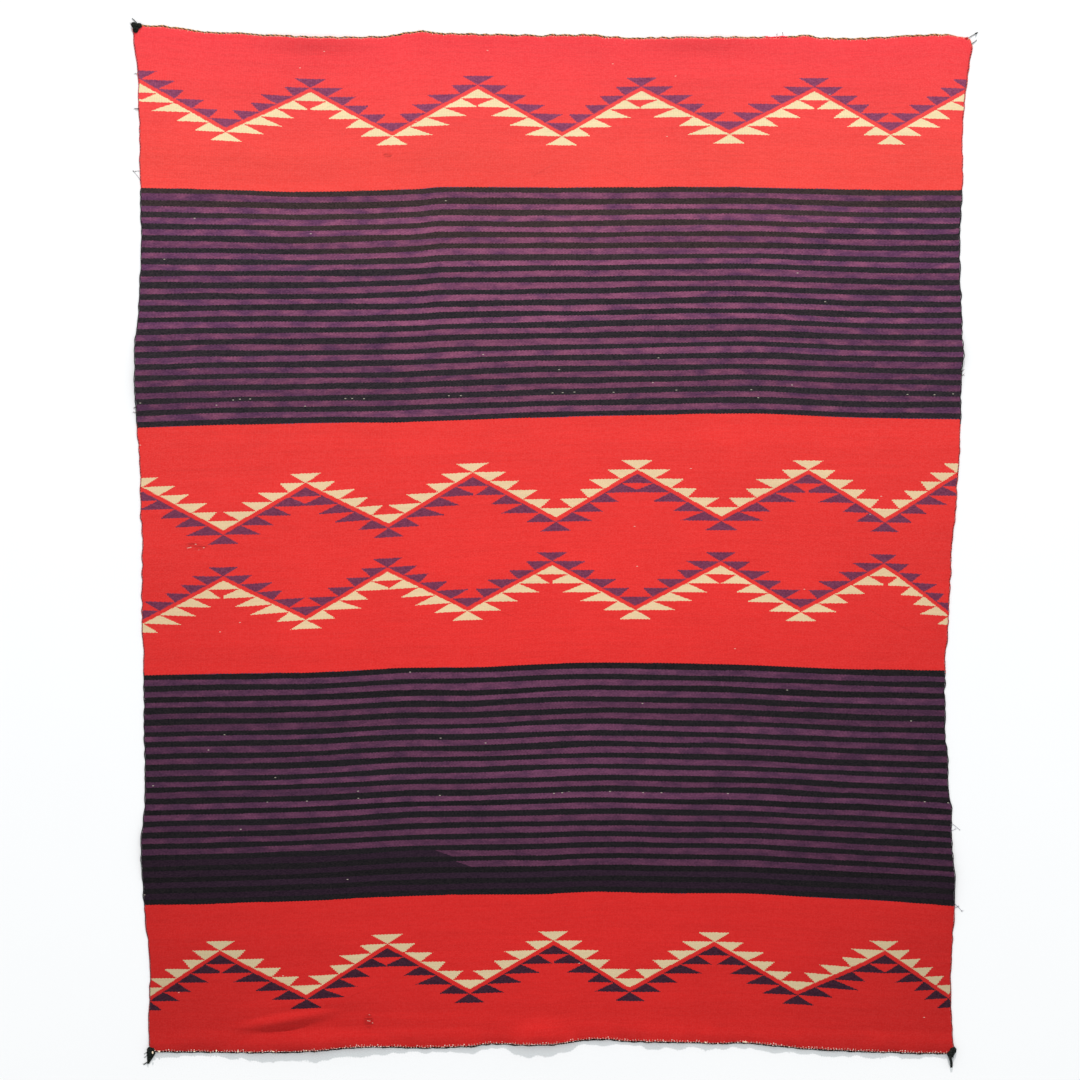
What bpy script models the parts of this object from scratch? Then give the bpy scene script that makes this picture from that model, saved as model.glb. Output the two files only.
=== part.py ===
# A wool serape, tapestry woven in one piece, lying flat with its face up.
# Twined cords finish its ends and sides, and small yarn knots with loose ends close its corners.
# Lengths are metres. X runs across the cloth, Y up its length and Z off the surface that it lies on.

import math
from collections import namedtuple

import bmesh
import bpy
from mathutils import Vector

# Cut of the cloth, as a four-sided figure before the waves of its edges
TOP_WIDTH = 1.394
BOTTOM_WIDTH = 1.3366
LEFT_LENGTH = 1.7036
RIGHT_LENGTH = 1.6733
TOP_DROP = 0.0339  # the right end of the top edge lies this much lower than the left end
BOTTOM_SHIFT = -0.0006  # the middle of the bottom edge lies this far to the side of the top's
CLOTH_THICKNESS = 0.0022

# Cords along the edges
END_CORD_RADIUS = 0.0014
SIDE_CORD_RADIUS = 0.0009
EDGE_GAP = 0.0005  # between the cloth's edge and the cord beside it
KNOT_GAP = 0.0003  # between a knot and the cloth that is cut round it

# Fineness of the cloth's mesh, with closer rows near the bottom hem, where the folds lie
COLUMNS = 46
ROWS = 48
CORNER_COLUMNS = (0.970, 0.994)  # the last two columns before the right edge, for its top corner
HEM_ROWS = 0.25  # share of the rows that lie in the hem
HEM_LENGTH = 0.10  # share of the length that the hem takes

# Sides of the round forms
CORD_STEPS = 2
KNOT_SEGMENTS = 12
KNOT_RINGS = 8
CUTTER_SIDES = 24
CUTTER_HEIGHT = 0.04
STRAND_STEPS = 5
CLEARING_STEPS = 200  # how finely a cord is cut back to clear a knot

MM = 0.001

# Waves of an edge: how far it stands out from the straight cut, at each share of the way along it.
# The left and right edges are followed from top to bottom, the others from left to right.
Wave = namedtuple("Wave", "along out_mm")

LEFT_EDGE = (
    Wave(0.000, 0.0),
    Wave(0.019, -2.1),
    Wave(0.039, -6.4),
    Wave(0.071, -7.6),
    Wave(0.200, -8.3),
    Wave(0.230, -7.0),
    Wave(0.267, -3.3),
    Wave(0.299, 2.1),
    Wave(0.306, 4.5),
    Wave(0.351, 6.2),
    Wave(0.372, 5.3),
    Wave(0.436, -0.4),
    Wave(0.482, -0.4),
    Wave(0.502, -2.3),
    Wave(0.550, 0.7),
    Wave(0.633, -0.5),
    Wave(0.697, 0.8),
    Wave(0.737, -0.1),
    Wave(0.766, 2.1),
    Wave(0.778, 4.9),
    Wave(0.804, 8.5),
    Wave(0.867, 4.8),
    Wave(0.891, 0.1),
    Wave(0.931, -2.4),
    Wave(0.980, 1.5),
    Wave(1.000, 0.0),
)

RIGHT_EDGE = (
    Wave(0.000, 0.0),
    Wave(0.014, -4.2),
    Wave(0.079, -13.3),
    Wave(0.137, -12.4),
    Wave(0.176, -14.8),
    Wave(0.211, -14.4),
    Wave(0.272, -9.5),
    Wave(0.297, -6.3),
    Wave(0.309, -5.9),
    Wave(0.322, -9.0),
    Wave(0.371, -8.1),
    Wave(0.470, -15.3),
    Wave(0.482, -18.6),
    Wave(0.589, -23.3),
    Wave(0.600, -25.7),
    Wave(0.620, -27.1),
    Wave(0.676, -25.4),
    Wave(0.706, -20.4),
    Wave(0.739, -17.9),
    Wave(0.760, -11.8),
    Wave(0.791, -10.9),
    Wave(0.821, -5.4),
    Wave(0.854, -4.9),
    Wave(0.887, -6.8),
    Wave(0.948, -8.3),
    Wave(0.979, -4.1),
    Wave(1.000, 0.0),
)

TOP_EDGE = (
    Wave(0.000, 0.0),
    Wave(0.020, -0.5),
    Wave(0.044, -1.3),
    Wave(0.064, -5.1),
    Wave(0.093, -8.5),
    Wave(0.118, -8.3),
    Wave(0.166, -11.1),
    Wave(0.227, -13.1),
    Wave(0.301, -8.2),
    Wave(0.341, 1.6),
    Wave(0.366, -0.9),
    Wave(0.463, -1.1),
    Wave(0.537, 2.1),
    Wave(0.585, -0.9),
    Wave(0.783, 7.5),
    Wave(0.802, 10.4),
    Wave(0.832, 5.6),
    Wave(0.883, 8.2),
    Wave(0.935, 14.5),
    Wave(0.970, 16.8),
    Wave(0.985, 14.8),
    Wave(0.994, 12.8),
    Wave(0.9976, 11.0),
    Wave(1.000, 0.0),
)

BOTTOM_EDGE = (
    Wave(0.000, 0.0),
    Wave(0.007, 0.0),
    Wave(0.057, 1.0),
    Wave(0.188, -0.7),
    Wave(0.266, -8.6),
    Wave(0.345, -7.1),
    Wave(0.397, -10.1),
    Wave(0.423, -13.7),
    Wave(0.497, -13.4),
    Wave(0.536, -19.9),
    Wave(0.566, -22.3),
    Wave(0.589, -18.9),
    Wave(0.658, -17.5),
    Wave(0.702, -15.8),
    Wave(0.745, -16.3),
    Wave(0.828, -6.3),
    Wave(0.946, -0.8),
    Wave(0.983, -0.1),
    Wave(1.000, 0.0),
)

# Folds that lift the cloth off the surface, each a smooth ridge that fades to nothing at its rim.
# Its middle is a share of the way across and down the cloth, and turn is its slope to the right.
Fold = namedtuple("Fold", "across down half_length half_width turn_deg height_mm")

FOLDS = (
    Fold(0.172, 0.969, 0.112, 0.019, 10.0, 8.8),  # above the hem, bottom left
    Fold(0.190, 0.955, 0.150, 0.036, 10.0, 3.2),  # the broad rise that it stands on
    Fold(0.200, 0.994, 0.230, 0.030, 2.0, 7.2),  # hem, bottom left
    Fold(0.485, 0.994, 0.085, 0.040, 3.0, 9.0),  # hem, middle
    Fold(0.250, 0.993, 1.200, 0.027, 1.6, 2.6),  # hem, all of its left half
    Fold(0.780, 0.993, 1.000, 0.027, -2.4, 2.6),  # hem, all of its right half
    Fold(0.695, 0.993, 0.040, 0.026, 0.0, 4.0),  # hem, right of the middle
    Fold(0.800, 0.993, 0.036, 0.024, -3.0, 4.2),  # hem, farther right
    Fold(0.905, 0.993, 0.050, 0.030, -3.0, 4.8),  # hem, bottom right
    Fold(0.000, 0.345, 0.105, 0.046, 90.0, 6.0),  # left edge
    Fold(0.000, 0.805, 0.075, 0.036, 90.0, 4.0),  # left edge, low down
    Fold(1.000, 0.310, 0.065, 0.030, 90.0, 5.0),  # right edge
    Fold(1.000, 0.825, 0.100, 0.034, 90.0, 4.5),  # right edge, low down
    Fold(0.215, 0.000, 0.130, 0.030, -1.0, 4.5),  # top edge, where it sags
    Fold(0.680, 0.000, 0.130, 0.026, 0.0, 3.5),  # top edge, right of the middle
    Fold(0.490, 0.400, 0.560, 0.038, 89.0, 1.6),  # crease down the middle, from storage
)

# Knots at the corners: how far the middle lies inside the cloth's corner, and the knot's size.
Knot = namedtuple("Knot", "name across down inset_x_mm inset_y_mm radius_mm height_mm")

KNOTS = (
    Knot("corner_tassel_top_left", 0.0, 0.0, 4.5, -1.5, 8.4, 6.4),
    Knot("corner_tassel_top_right", 1.0, 0.0, -8.6, 13.4, 2.6, 3.8),
    Knot("corner_tassel_bottom_left", 0.0, 1.0, 2.7, -0.3, 7.8, 7.0),
    Knot("corner_tassel_bottom_right", 1.0, 1.0, -3.8, 1.0, 8.0, 7.0),
)

# Loose yarn ends of each knot: they leave it at lean, measured from +X, and turn by curl.
Strand = namedtuple("Strand", "knot lean_deg curl_deg reach_mm root_mm tip_mm")

STRANDS = (
    Strand("corner_tassel_top_left", 55.0, 100.0, 17.0, 1.1, 0.6),
    Strand("corner_tassel_top_left", 143.0, 5.0, 10.5, 1.6, 0.5),
    Strand("corner_tassel_top_right", 33.0, -4.0, 21.0, 0.8, 1.1),
    Strand("corner_tassel_bottom_left", 254.0, -30.0, 26.0, 2.8, 0.6),
    Strand("corner_tassel_bottom_left", 266.0, -14.0, 19.0, 2.2, 0.7),
    Strand("corner_tassel_bottom_left", 238.0, 4.0, 18.0, 2.2, 0.6),
    Strand("corner_tassel_bottom_left", 202.0, 6.0, 11.5, 1.2, 0.5),
    Strand("corner_tassel_bottom_right", 252.0, 36.0, 27.0, 2.2, 1.9),
    Strand("corner_tassel_bottom_right", 290.0, -10.0, 11.0, 1.5, 0.6),
)

# Finishes: colour, roughness
Finish = namedtuple("Finish", "colour roughness")
RED_WOOL = Finish((0.60, 0.045, 0.035), 0.95)
CORD_WOOL = Finish((0.035, 0.022, 0.018), 0.90)
KNOT_WOOL = Finish((0.013, 0.017, 0.015), 0.90)


def clear_scene():
    for old in list(bpy.data.objects):
        bpy.data.objects.remove(old)


def collection_named(name):
    made = bpy.data.collections.new(name)
    bpy.context.scene.collection.children.link(made)
    return made


def wool(name, finish):
    material = bpy.data.materials.new(name)
    material.use_nodes = True
    shader = material.node_tree.nodes["Principled BSDF"]
    shader.inputs["Base Color"].default_value = (*finish.colour, 1.0)
    shader.inputs["Roughness"].default_value = finish.roughness
    shader.inputs["Metallic"].default_value = 0.0
    return material


# Reads an edge's wave at one place, on a smooth curve through its stations.
def wave_at(stations, along):
    last = len(stations) - 1
    k = 0
    while k < last - 1 and along > stations[k + 1].along:
        k += 1
    a, b = stations[k], stations[k + 1]
    before = stations[max(k - 1, 0)]
    after = stations[min(k + 2, last)]
    span = b.along - a.along
    slope_a = (b.out_mm - before.out_mm) / (b.along - before.along)
    slope_b = (after.out_mm - a.out_mm) / (after.along - a.along)
    t = min(max((along - a.along) / span, 0.0), 1.0)
    rise = t * t * (3.0 - 2.0 * t)
    lead = t * (1.0 - t) ** 2 * slope_a - t * t * (1.0 - t) * slope_b
    return (a.out_mm + (b.out_mm - a.out_mm) * rise + lead * span) * MM


def corners():
    top_left = Vector((-TOP_WIDTH / 2, LEFT_LENGTH / 2))
    top_right = Vector((TOP_WIDTH / 2, LEFT_LENGTH / 2 - TOP_DROP))
    bottom_left = Vector((BOTTOM_SHIFT - BOTTOM_WIDTH / 2, -LEFT_LENGTH / 2))
    bottom_right = Vector((BOTTOM_SHIFT + BOTTOM_WIDTH / 2, top_right.y - RIGHT_LENGTH))
    return top_left, top_right, bottom_left, bottom_right


# A place on the cloth, seen from above: the straight cut, pushed out by the waves of its four edges.
def place(across, down):
    top_left, top_right, bottom_left, bottom_right = corners()
    flat = top_left.lerp(top_right, across).lerp(bottom_left.lerp(bottom_right, across), down)
    push_x = wave_at(RIGHT_EDGE, down) * across - wave_at(LEFT_EDGE, down) * (1.0 - across)
    push_y = wave_at(TOP_EDGE, across) * (1.0 - down) - wave_at(BOTTOM_EDGE, across) * down
    return flat + Vector((push_x, push_y))


# Height of the cloth's underside over the surface, from all the folds that reach this place.
def lift(spot):
    height = 0.0
    for fold in FOLDS:
        turn = math.radians(fold.turn_deg)
        away = spot - place(fold.across, fold.down)
        length_share = (away.x * math.cos(turn) + away.y * math.sin(turn)) / fold.half_length
        width_share = (away.y * math.cos(turn) - away.x * math.sin(turn)) / fold.half_width
        reach = min(math.hypot(length_share, width_share), 1.0)
        height = max(height, fold.height_mm * MM * math.cos(reach * math.pi / 2) ** 2)
    return height


def column_share(k):
    from_last = COLUMNS - k
    if from_last in (1, 2):
        return CORNER_COLUMNS[2 - from_last]
    return k / COLUMNS


def row_share(step):
    if step <= 1.0 - HEM_ROWS:
        return step / (1.0 - HEM_ROWS) * (1.0 - HEM_LENGTH)
    return 1.0 - (1.0 - step) / HEM_ROWS * HEM_LENGTH


def add_object(name, data, collection, material):
    made = bpy.data.objects.new(name, data)
    collection.objects.link(made)
    if material is not None:
        made.data.materials.append(material)
    return made


def knot_middle(knot):
    corner = place(knot.across, knot.down)
    return corner + Vector((knot.inset_x_mm, knot.inset_y_mm)) * MM


# The cloth: a grid laid on the folds, given its thickness upwards, with a bite for each corner knot.
def make_web(collection, cutters, material):
    bm = bmesh.new()
    bmesh.ops.create_grid(bm, x_segments=COLUMNS, y_segments=ROWS, size=0.5)
    for vert in bm.verts:
        column = round((vert.co.x + 0.5) * COLUMNS)
        spot = place(column_share(column), row_share(0.5 - vert.co.y))
        vert.co = (spot.x, spot.y, lift(spot))
    bmesh.ops.recalc_face_normals(bm, faces=bm.faces)
    if bm.faces[0].normal.z < 0.0:
        bmesh.ops.reverse_faces(bm, faces=bm.faces)
    mesh = bpy.data.meshes.new("web")
    bm.to_mesh(mesh)
    bm.free()
    web = add_object("web", mesh, collection, material)
    thicken = web.modifiers.new("thickness", "SOLIDIFY")
    thicken.thickness = CLOTH_THICKNESS
    thicken.offset = 1.0
    for knot in KNOTS:
        bite = web.modifiers.new("room for " + knot.name, "BOOLEAN")
        bite.operation = "DIFFERENCE"
        bite.object = make_cutter(knot, cutters)
    return web


def make_cutter(knot, cutters):
    middle = knot_middle(knot)
    radius = knot.radius_mm * MM + KNOT_GAP
    bm = bmesh.new()
    bmesh.ops.create_cone(
        bm,
        cap_ends=True,
        segments=CUTTER_SIDES,
        radius1=radius,
        radius2=radius,
        depth=CUTTER_HEIGHT,
    )
    bmesh.ops.translate(bm, verts=bm.verts, vec=(middle.x, middle.y, 0.0))
    mesh = bpy.data.meshes.new("cutter " + knot.name)
    bm.to_mesh(mesh)
    bm.free()
    cutter = add_object("cutter " + knot.name, mesh, cutters, None)
    cutter.hide_render = True
    cutter.display_type = "WIRE"
    return cutter


# The cloth's rim as its mesh has it, from end to end of one edge.
def rim(edge):
    if edge == "top":
        return [place(column_share(k), 0.0) for k in range(COLUMNS + 1)]
    if edge == "bottom":
        return [place(column_share(k), 1.0) for k in range(COLUMNS + 1)]
    across = 0.0 if edge == "left" else 1.0
    return [place(across, row_share(k / ROWS)) for k in range(ROWS + 1)]


# Moves each point of a rim off the cloth, square to the rim.
def stand_off(points, distance, outward):
    moved = []
    for k, point in enumerate(points):
        run = points[min(k + 1, len(points) - 1)] - points[max(k - 1, 0)]
        side = Vector((run.y, -run.x)).normalized()
        if side.dot(outward) < 0.0:
            side.negate()
        moved.append(point + side * distance)
    return moved


# Drops the start of a line, up to where it has passed a knot that lies on its first pieces.
def start_clear_of(points, middle, clear):
    cleared = points
    for k in (0, 1):
        for step in range(CLEARING_STEPS):
            spot = points[k].lerp(points[k + 1], step / CLEARING_STEPS)
            if (spot - middle).length < clear:
                beyond = points[k].lerp(points[k + 1], (step + 1) / CLEARING_STEPS)
                cleared = [beyond, *points[k + 1:]]
    return cleared


def make_cord(name, edge, outward, radius, ends, collection, material):
    line = stand_off(rim(edge), radius + EDGE_GAP, Vector(outward))
    for knot_name in ends:
        knot = next(k for k in KNOTS if k.name == knot_name)
        clear = knot.radius_mm * MM + radius + EDGE_GAP
        line = start_clear_of(line, knot_middle(knot), clear)
        line.reverse()
    curve = bpy.data.curves.new(name, "CURVE")
    curve.dimensions = "3D"
    curve.bevel_depth = radius
    curve.bevel_resolution = CORD_STEPS
    curve.use_fill_caps = True
    spline = curve.splines.new("POLY")
    spline.points.add(len(line) - 1)
    for point, spot in zip(spline.points, line):
        point.co = (spot.x, spot.y, lift(spot) + radius, 1.0)
    return add_object(name, curve, collection, material)


# One loose end: a four-sided strand that lies level on the surface and thins to its tip.
def make_strand(knot, strand, cutters):
    curve = bpy.data.curves.new("strand", "CURVE")
    curve.dimensions = "3D"
    curve.bevel_depth = 1.0
    curve.bevel_resolution = 0
    curve.use_fill_caps = True
    spline = curve.splines.new("POLY")
    spline.points.add(STRAND_STEPS)
    spot = knot_middle(knot)
    step = strand.reach_mm * MM / STRAND_STEPS
    for k, point in enumerate(spline.points):
        share = k / STRAND_STEPS
        radius = (strand.root_mm + (strand.tip_mm - strand.root_mm) * share) * MM
        point.co = (spot.x, spot.y, radius, 1.0)
        point.radius = radius
        heading = math.radians(strand.lean_deg + strand.curl_deg * share)
        spot = spot + Vector((math.cos(heading), math.sin(heading))) * step
    tube = add_object("strand tube", curve, cutters, None)
    view_layer = bpy.context.view_layer
    view_layer.update()
    mesh = bpy.data.meshes.new_from_object(tube.evaluated_get(view_layer.depsgraph))
    bpy.data.objects.remove(tube)
    bm = bmesh.new()
    bm.from_mesh(mesh)
    bmesh.ops.remove_doubles(bm, verts=bm.verts, dist=0.00001)
    bmesh.ops.recalc_face_normals(bm, faces=bm.faces)
    bm.to_mesh(mesh)
    bm.free()
    solid = add_object(f"strand {knot.name} {strand.lean_deg:.0f}", mesh, cutters, None)
    solid.hide_render = True
    solid.display_type = "WIRE"
    return solid


# A knot is a squashed ball with a flat underside, joined with the roots of its loose ends.
def make_knot(knot, collection, cutters, material):
    middle = knot_middle(knot)
    half_height = knot.height_mm * MM / 2
    floor_share = 0.8  # the ball is cut off flat this far below its middle
    bm = bmesh.new()
    bmesh.ops.create_uvsphere(bm, u_segments=KNOT_SEGMENTS, v_segments=KNOT_RINGS, radius=1.0)
    for vert in bm.verts:
        vert.co.z = max(vert.co.z, -floor_share)
    bmesh.ops.remove_doubles(bm, verts=bm.verts, dist=0.0001)
    for vert in bm.verts:
        vert.co.x = vert.co.x * knot.radius_mm * MM + middle.x
        vert.co.y = vert.co.y * knot.radius_mm * MM + middle.y
        vert.co.z = (vert.co.z + floor_share) * half_height
    mesh = bpy.data.meshes.new(knot.name)
    bm.to_mesh(mesh)
    bm.free()
    head = add_object(knot.name, mesh, collection, material)
    for strand in STRANDS:
        if strand.knot == knot.name:
            root = head.modifiers.new(f"strand {strand.lean_deg:.0f}", "BOOLEAN")
            root.operation = "UNION"
            root.object = make_strand(knot, strand, cutters)
    return head


# Puts the middle of the whole piece over the origin, with its underside at zero.
def centre_on_origin(parts, cutters):
    bpy.context.view_layer.update()
    depsgraph = bpy.context.evaluated_depsgraph_get()
    spots = [
        part.matrix_world @ vert.co
        for part in parts.objects
        for vert in part.evaluated_get(depsgraph).to_mesh().vertices
    ]
    low = Vector(min(spot[axis] for spot in spots) for axis in range(3))
    high = Vector(max(spot[axis] for spot in spots) for axis in range(3))
    shift = Vector(((low.x + high.x) / 2, (low.y + high.y) / 2, low.z))
    for item in [*parts.objects, *cutters.objects]:
        item.location -= shift
    print("shifted by", [round(value, 6) for value in shift])


def main():
    clear_scene()
    parts = collection_named("serape")
    cutters = collection_named("cutters")
    red = wool("red wool", RED_WOOL)
    dark = wool("dark cord wool", CORD_WOOL)
    black = wool("knot wool", KNOT_WOOL)
    make_web(parts, cutters, red)
    top_knots = ("corner_tassel_top_left", "corner_tassel_top_right")
    bottom_knots = ("corner_tassel_bottom_left", "corner_tassel_bottom_right")
    left_knots = ("corner_tassel_top_left", "corner_tassel_bottom_left")
    right_knots = ("corner_tassel_top_right", "corner_tassel_bottom_right")
    make_cord("end_cord_top", "top", (0, 1), END_CORD_RADIUS, top_knots, parts, dark)
    make_cord("end_cord_bottom", "bottom", (0, -1), END_CORD_RADIUS, bottom_knots, parts, dark)
    make_cord("side_cord_left", "left", (-1, 0), SIDE_CORD_RADIUS, left_knots, parts, dark)
    make_cord("side_cord_right", "right", (1, 0), SIDE_CORD_RADIUS, right_knots, parts, dark)
    for knot in KNOTS:
        make_knot(knot, parts, cutters, black)
    centre_on_origin(parts, cutters)


main()
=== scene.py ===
import math
from collections import namedtuple

import bmesh
import bpy
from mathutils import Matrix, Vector, noise


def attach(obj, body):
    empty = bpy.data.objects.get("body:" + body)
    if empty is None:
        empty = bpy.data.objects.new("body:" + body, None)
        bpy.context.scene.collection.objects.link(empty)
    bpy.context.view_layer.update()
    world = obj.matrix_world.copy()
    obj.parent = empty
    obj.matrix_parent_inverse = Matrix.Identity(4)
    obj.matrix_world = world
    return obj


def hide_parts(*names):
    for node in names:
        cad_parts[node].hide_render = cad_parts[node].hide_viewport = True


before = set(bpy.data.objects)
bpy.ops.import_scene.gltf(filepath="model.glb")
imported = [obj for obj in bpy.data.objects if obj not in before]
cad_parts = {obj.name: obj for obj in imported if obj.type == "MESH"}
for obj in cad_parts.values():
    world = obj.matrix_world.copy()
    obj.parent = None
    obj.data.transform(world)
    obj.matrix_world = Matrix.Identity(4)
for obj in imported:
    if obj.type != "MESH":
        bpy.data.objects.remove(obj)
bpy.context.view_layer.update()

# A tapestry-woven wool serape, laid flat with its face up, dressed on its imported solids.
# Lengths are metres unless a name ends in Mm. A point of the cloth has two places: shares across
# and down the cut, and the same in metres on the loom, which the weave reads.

mm = 0.001

cut = {
    "topWidth": 1.394,
    "bottomWidth": 1.3366,
    "leftLength": 1.7036,
    "rightLength": 1.6733,
    "topDrop": 0.0339,
    "bottomShift": -0.0006,
    "thickness": 0.0022,
    "movedX": 0.002748,  # what centred the solids over the origin
    "movedY": -0.007807,
}

# How far each edge lies out from a straight line: the share along it, and millimetres
leftEdge = (
    (0.000, 0.0), (0.019, -2.1), (0.039, -6.4), (0.071, -7.6), (0.200, -8.3), (0.230, -7.0),
    (0.267, -3.3), (0.299, 2.1), (0.306, 4.5), (0.351, 6.2), (0.372, 5.3), (0.436, -0.4),
    (0.482, -0.4), (0.502, -2.3), (0.550, 0.7), (0.633, -0.5), (0.697, 0.8), (0.737, -0.1),
    (0.766, 2.1), (0.778, 4.9), (0.804, 8.5), (0.867, 4.8), (0.891, 0.1), (0.931, -2.4),
    (0.980, 1.5), (1.000, 0.0),
)

rightEdge = (
    (0.000, 0.0), (0.014, -4.2), (0.079, -13.3), (0.137, -12.4), (0.176, -14.8), (0.211, -14.4),
    (0.272, -9.5), (0.297, -6.3), (0.309, -5.9), (0.322, -9.0), (0.371, -8.1), (0.470, -15.3),
    (0.482, -18.6), (0.589, -23.3), (0.600, -25.7), (0.620, -27.1), (0.676, -25.4),
    (0.706, -20.4), (0.739, -17.9), (0.760, -11.8), (0.791, -10.9), (0.821, -5.4), (0.854, -4.9),
    (0.887, -6.8), (0.948, -8.3), (0.979, -4.1), (1.000, 0.0),
)

topEdge = (
    (0.000, 0.0), (0.020, -0.5), (0.044, -1.3), (0.064, -5.1), (0.093, -8.5), (0.118, -8.3),
    (0.166, -11.1), (0.227, -13.1), (0.301, -8.2), (0.341, 1.6), (0.366, -0.9), (0.463, -1.1),
    (0.537, 2.1), (0.585, -0.9), (0.783, 7.5), (0.802, 10.4), (0.832, 5.6), (0.883, 8.2),
    (0.935, 14.5), (0.970, 16.8), (0.985, 14.8), (0.994, 12.8), (0.9976, 11.0), (1.000, 0.0),
)

bottomEdge = (
    (0.000, 0.0), (0.007, 0.0), (0.057, 1.0), (0.188, -0.7), (0.266, -8.6), (0.345, -7.1),
    (0.397, -10.1), (0.423, -13.7), (0.497, -13.4), (0.536, -19.9), (0.566, -22.3),
    (0.589, -18.9), (0.658, -17.5), (0.702, -15.8), (0.745, -16.3), (0.828, -6.3), (0.946, -0.8),
    (0.983, -0.1), (1.000, 0.0),
)

Fold = namedtuple("Fold", "across down halfLength halfWidth turnDeg heightMm")

folds = (
    Fold(0.172, 0.969, 0.112, 0.019, 10.0, 8.8),  # above the hem, bottom left
    Fold(0.190, 0.955, 0.150, 0.036, 10.0, 3.2),  # the broad rise that it stands on
    Fold(0.200, 0.994, 0.230, 0.030, 2.0, 7.2),  # hem, bottom left
    Fold(0.485, 0.994, 0.085, 0.040, 3.0, 9.0),  # hem, middle
    Fold(0.250, 0.993, 1.200, 0.027, 1.6, 2.6),  # hem, all of its left half
    Fold(0.780, 0.993, 1.000, 0.027, -2.4, 2.6),  # hem, all of its right half
    Fold(0.695, 0.993, 0.040, 0.026, 0.0, 4.0),  # hem, right of the middle
    Fold(0.800, 0.993, 0.036, 0.024, -3.0, 4.2),  # hem, farther right
    Fold(0.905, 0.993, 0.050, 0.030, -3.0, 4.8),  # hem, bottom right
    Fold(0.000, 0.345, 0.105, 0.046, 90.0, 6.0),  # left edge
    Fold(0.000, 0.805, 0.075, 0.036, 90.0, 4.0),  # left edge, low down
    Fold(1.000, 0.310, 0.065, 0.030, 90.0, 5.0),  # right edge
    Fold(1.000, 0.825, 0.100, 0.034, 90.0, 4.5),  # right edge, low down
    Fold(0.215, 0.000, 0.130, 0.030, -1.0, 4.5),  # top edge, where it sags
    Fold(0.680, 0.000, 0.130, 0.026, 0.0, 3.5),  # top edge, right of the middle
    Fold(0.490, 0.400, 0.560, 0.038, 89.0, 1.6),  # crease down the middle, from storage
)

# Small scallops on the right edge, one at each dark stripe of the first band
scallops = {"start": 0.2662, "end": 0.3230, "pitch": 0.01135, "depthMm": 1.3}

# Small unevenness of all four edges, where the weft draws the warps in
uneven = {"length": 0.012, "depth": 0.0020, "hemDepth": 0.0008}

# Ripples of the bottom hem, which give its shadow a wavy edge
hem = {"below": -0.79, "rippleLength": 0.020, "rippleMm": 3.2, "reach": 0.030}


# A smooth curve through a table's first two columns, straight on past its ends.
def smoothAt(stations, along):
    last = len(stations) - 1
    k = 0
    while k < last - 1 and along > stations[k + 1][0]:
        k += 1
    a, b = stations[k], stations[k + 1]
    before = stations[max(k - 1, 0)]
    after = stations[min(k + 2, last)]
    span = b[0] - a[0]
    slopeA = (b[1] - before[1]) / (b[0] - before[0])
    slopeB = (after[1] - a[1]) / (after[0] - a[0])
    t = (along - a[0]) / span
    if t < 0.0:
        return a[1] + t * span * slopeA
    if t > 1.0:
        return b[1] + (t - 1.0) * span * slopeB
    rise = t * t * (3.0 - 2.0 * t)
    lead = t * (1.0 - t) ** 2 * slopeA - t * t * (1.0 - t) * slopeB
    return a[1] + (b[1] - a[1]) * rise + lead * span


def edgeAt(stations, along):
    return smoothAt(stations, min(max(along, 0.0), 1.0)) * mm


def unevenAt(along, side, depth=uneven["depth"]):
    return noise.noise(Vector((along / uneven["length"], side * 7.7, 0.5))) * depth


# A place on the cloth seen from above, from its shares across and down.
def place(across, down):
    topLeft = Vector((-cut["topWidth"] / 2, cut["leftLength"] / 2))
    topRight = Vector((cut["topWidth"] / 2, cut["leftLength"] / 2 - cut["topDrop"]))
    bottomLeft = Vector((cut["bottomShift"] - cut["bottomWidth"] / 2, -cut["leftLength"] / 2))
    bottomRight = Vector((
        cut["bottomShift"] + cut["bottomWidth"] / 2, topRight.y - cut["rightLength"]
    ))
    flat = topLeft.lerp(topRight, across).lerp(bottomLeft.lerp(bottomRight, across), down)
    pushX = edgeAt(rightEdge, down) * across - edgeAt(leftEdge, down) * (1.0 - across)
    pushY = edgeAt(topEdge, across) * (1.0 - down) - edgeAt(bottomEdge, across) * down
    if scallops["start"] < down < scallops["end"]:
        swell = abs(math.sin(math.pi * (down - scallops["start"]) / scallops["pitch"]))
        pushX += scallops["depthMm"] * mm * (swell - 0.6) * max(0.0, across * 12.0 - 11.0)
    runX, runY = across * cut["topWidth"], down * cut["leftLength"]
    pushX += unevenAt(runY, 1) * across**20 - unevenAt(runY, 2) * (1.0 - across) ** 20
    pushY += unevenAt(runX, 3) * (1.0 - down) ** 20
    pushY -= unevenAt(runX, 4, uneven["hemDepth"]) * down**20
    return flat + Vector((pushX - cut["movedX"], pushY - cut["movedY"]))


foldMiddles = [place(fold.across, fold.down) for fold in folds]


# Height of the cloth's underside over the surface.
def lift(spot):
    height = 0.0
    for fold, middle in zip(folds, foldMiddles):
        turn = math.radians(fold.turnDeg)
        away = spot - middle
        lengthShare = (away.x * math.cos(turn) + away.y * math.sin(turn)) / fold.halfLength
        widthShare = (away.y * math.cos(turn) - away.x * math.sin(turn)) / fold.halfWidth
        reach = min(math.hypot(lengthShare, widthShare), 1.0)
        height = max(height, fold.heightMm * mm * math.cos(reach * math.pi / 2) ** 2)
    if spot.y < hem["below"]:
        across = 0.5 + (spot.x + cut["movedX"] - cut["bottomShift"]) / cut["bottomWidth"]
        away = min(max(spot.y - place(across, 1.0).y, 0.0) / hem["reach"], 1.0)
        swell = noise.noise(Vector((spot.x / hem["rippleLength"], 4.4, 1.5)))
        height = max(height + swell * hem["rippleMm"] * mm * (1.0 - away) ** 2, 0.0)
    return height


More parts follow.
